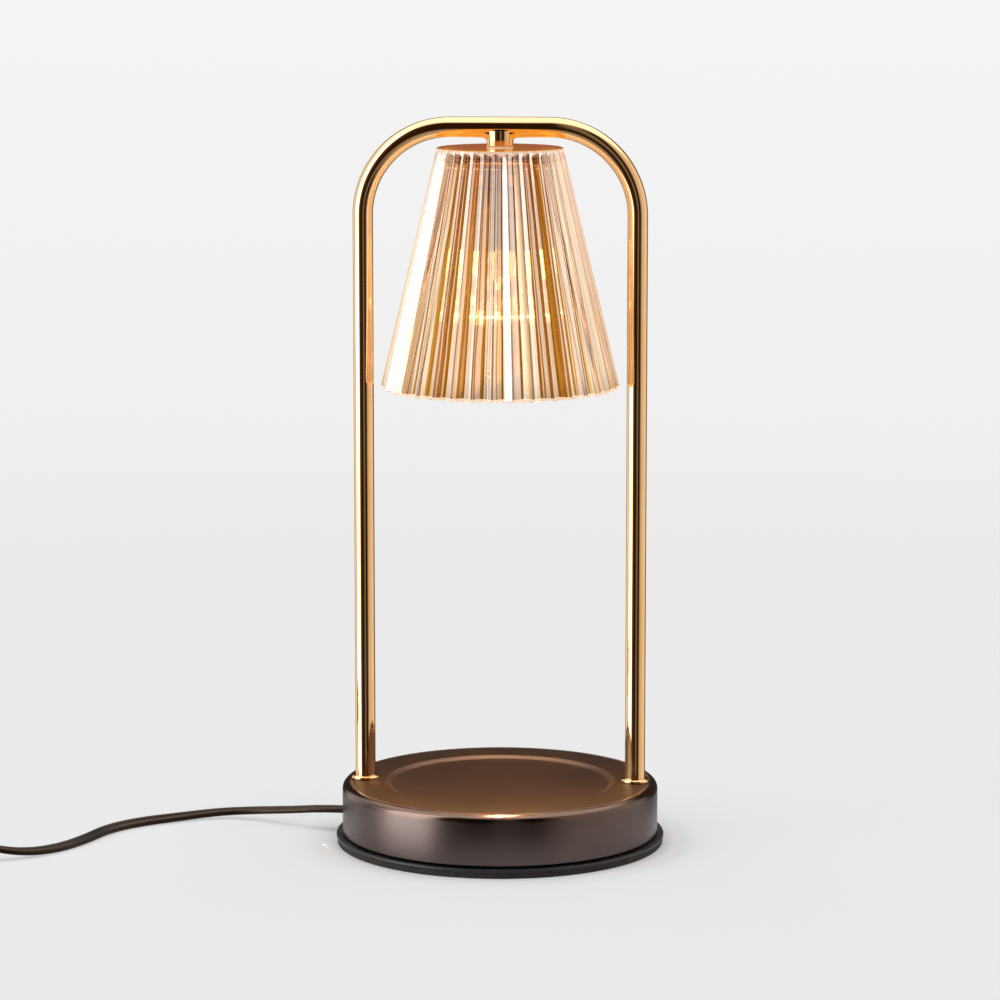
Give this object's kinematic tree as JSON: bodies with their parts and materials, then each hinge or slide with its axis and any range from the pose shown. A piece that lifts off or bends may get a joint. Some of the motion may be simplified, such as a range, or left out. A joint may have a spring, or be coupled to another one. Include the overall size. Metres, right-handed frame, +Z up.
{
  "type": "candle warmer lamp",
  "caption": "Arch-frame candle warmer lamp: weighted round base, gold tube arch, ribbed amber glass shade with a reflector bulb above the candle plate, cord with thumbwheel dimmer and plug.",
  "frame": {"origin": "middle of the base's underside, on the table", "axes": "+Z up; +X to the right along the arch seen from the front; +Y to the back, where the cord leaves on the left"},
  "size_m": [0.4597, 0.148, 0.3265],
  "materials": {
    "black_rubber": "matte",
    "clear_silicone": "satin",
    "base_plate_paint": "satin black enamel",
    "bronze_paint": "satin bronze-brown enamel",
    "polished_gold": "polished",
    "steel": "zinc plated",
    "iron": "raw",
    "shade_glass": "clear amber tint, ribbed",
    "ceramic": "unglazed",
    "brass_contacts": "bright",
    "reflector_glass": "dichroic coated, faceted",
    "bulb_glass": "clear",
    "filament": "glowing",
    "wire_insulation": "matte",
    "splice_plastic": "matte",
    "cord_jacket": "satin black",
    "tie_plastic": "matte",
    "dimmer_plastic": "matte black",
    "wheel_plastic": "matte",
    "circuit_board": "solder mask",
    "component_plastic": "moulded",
    "capacitor_plastic": "moulded"
  },
  "bodies": {
    "lamp": {"anti_slip_pad": "black_rubber", "base_plate": "base_plate_paint", "base_shell": "bronze_paint", "base_posts": "steel", "base_plate_screws": "steel", "ballast_screws": "steel", "ballast_weight": "iron", "cord_grommet": "black_rubber", "arch_tube": "polished_gold", "left_collar": "polished_gold", "right_collar": "polished_gold", "leg_washers": "steel", "leg_nuts": "steel", "stem": "polished_gold", "shade": "shade_glass", "shade_gasket_upper": "clear_silicone", "shade_gasket_lower": "clear_silicone", "retaining_washer": "polished_gold", "threaded_nipple": "steel", "shade_nut": "steel", "lampholder_bracket": "steel", "lampholder_body": "ceramic", "lampholder_screws": "steel", "lampholder_contacts": "brass_contacts", "lamp_wires": "wire_insulation", "cord_cores": "wire_insulation", "splice_caps": "splice_plastic", "cord_lead": "cord_jacket", "cord_tail": "cord_jacket", "cord_end": "cord_jacket", "coil_tie": "tie_plastic", "cord_coil": "cord_jacket", "dimmer_bottom_shell": "dimmer_plastic", "dimmer_top_shell": "dimmer_plastic", "dimmer_board": "circuit_board", "dimmer_potentiometer": "component_plastic", "dimmer_triac": "component_plastic", "dimmer_capacitor": "capacitor_plastic", "dimmer_screws": "steel", "dimmer_strain_reliefs": "cord_jacket", "dimmer_wires": "wire_insulation", "plug_body": "dimmer_plastic", "plug_blades": "brass_contacts", "plug_strain_relief": "cord_jacket"},
    "bulb": {"bulb_neck": "ceramic", "bulb_reflector": "reflector_glass", "bulb_front_glass": "bulb_glass", "bulb_pins": "brass_contacts", "bulb_capsule": "bulb_glass", "bulb_filament": "filament"},
    "dimmer_wheel": {"dimmer_wheel": "wheel_plastic"}
  },
  "joints": [
    {"name": "bulb_twist", "type": "hinge", "parent": "lamp", "child": "bulb", "pos_m": [0, 0, 0.2835], "axis": [0, 0, 1], "range_deg": [-25, 0]},
    {"name": "dimmer_wheel_turn", "type": "hinge", "parent": "lamp", "child": "dimmer_wheel", "pos_m": [-0.29, -0.0615, 0.008], "axis": [0, 0, 1], "range_deg": [-270, 0]}
  ]
}
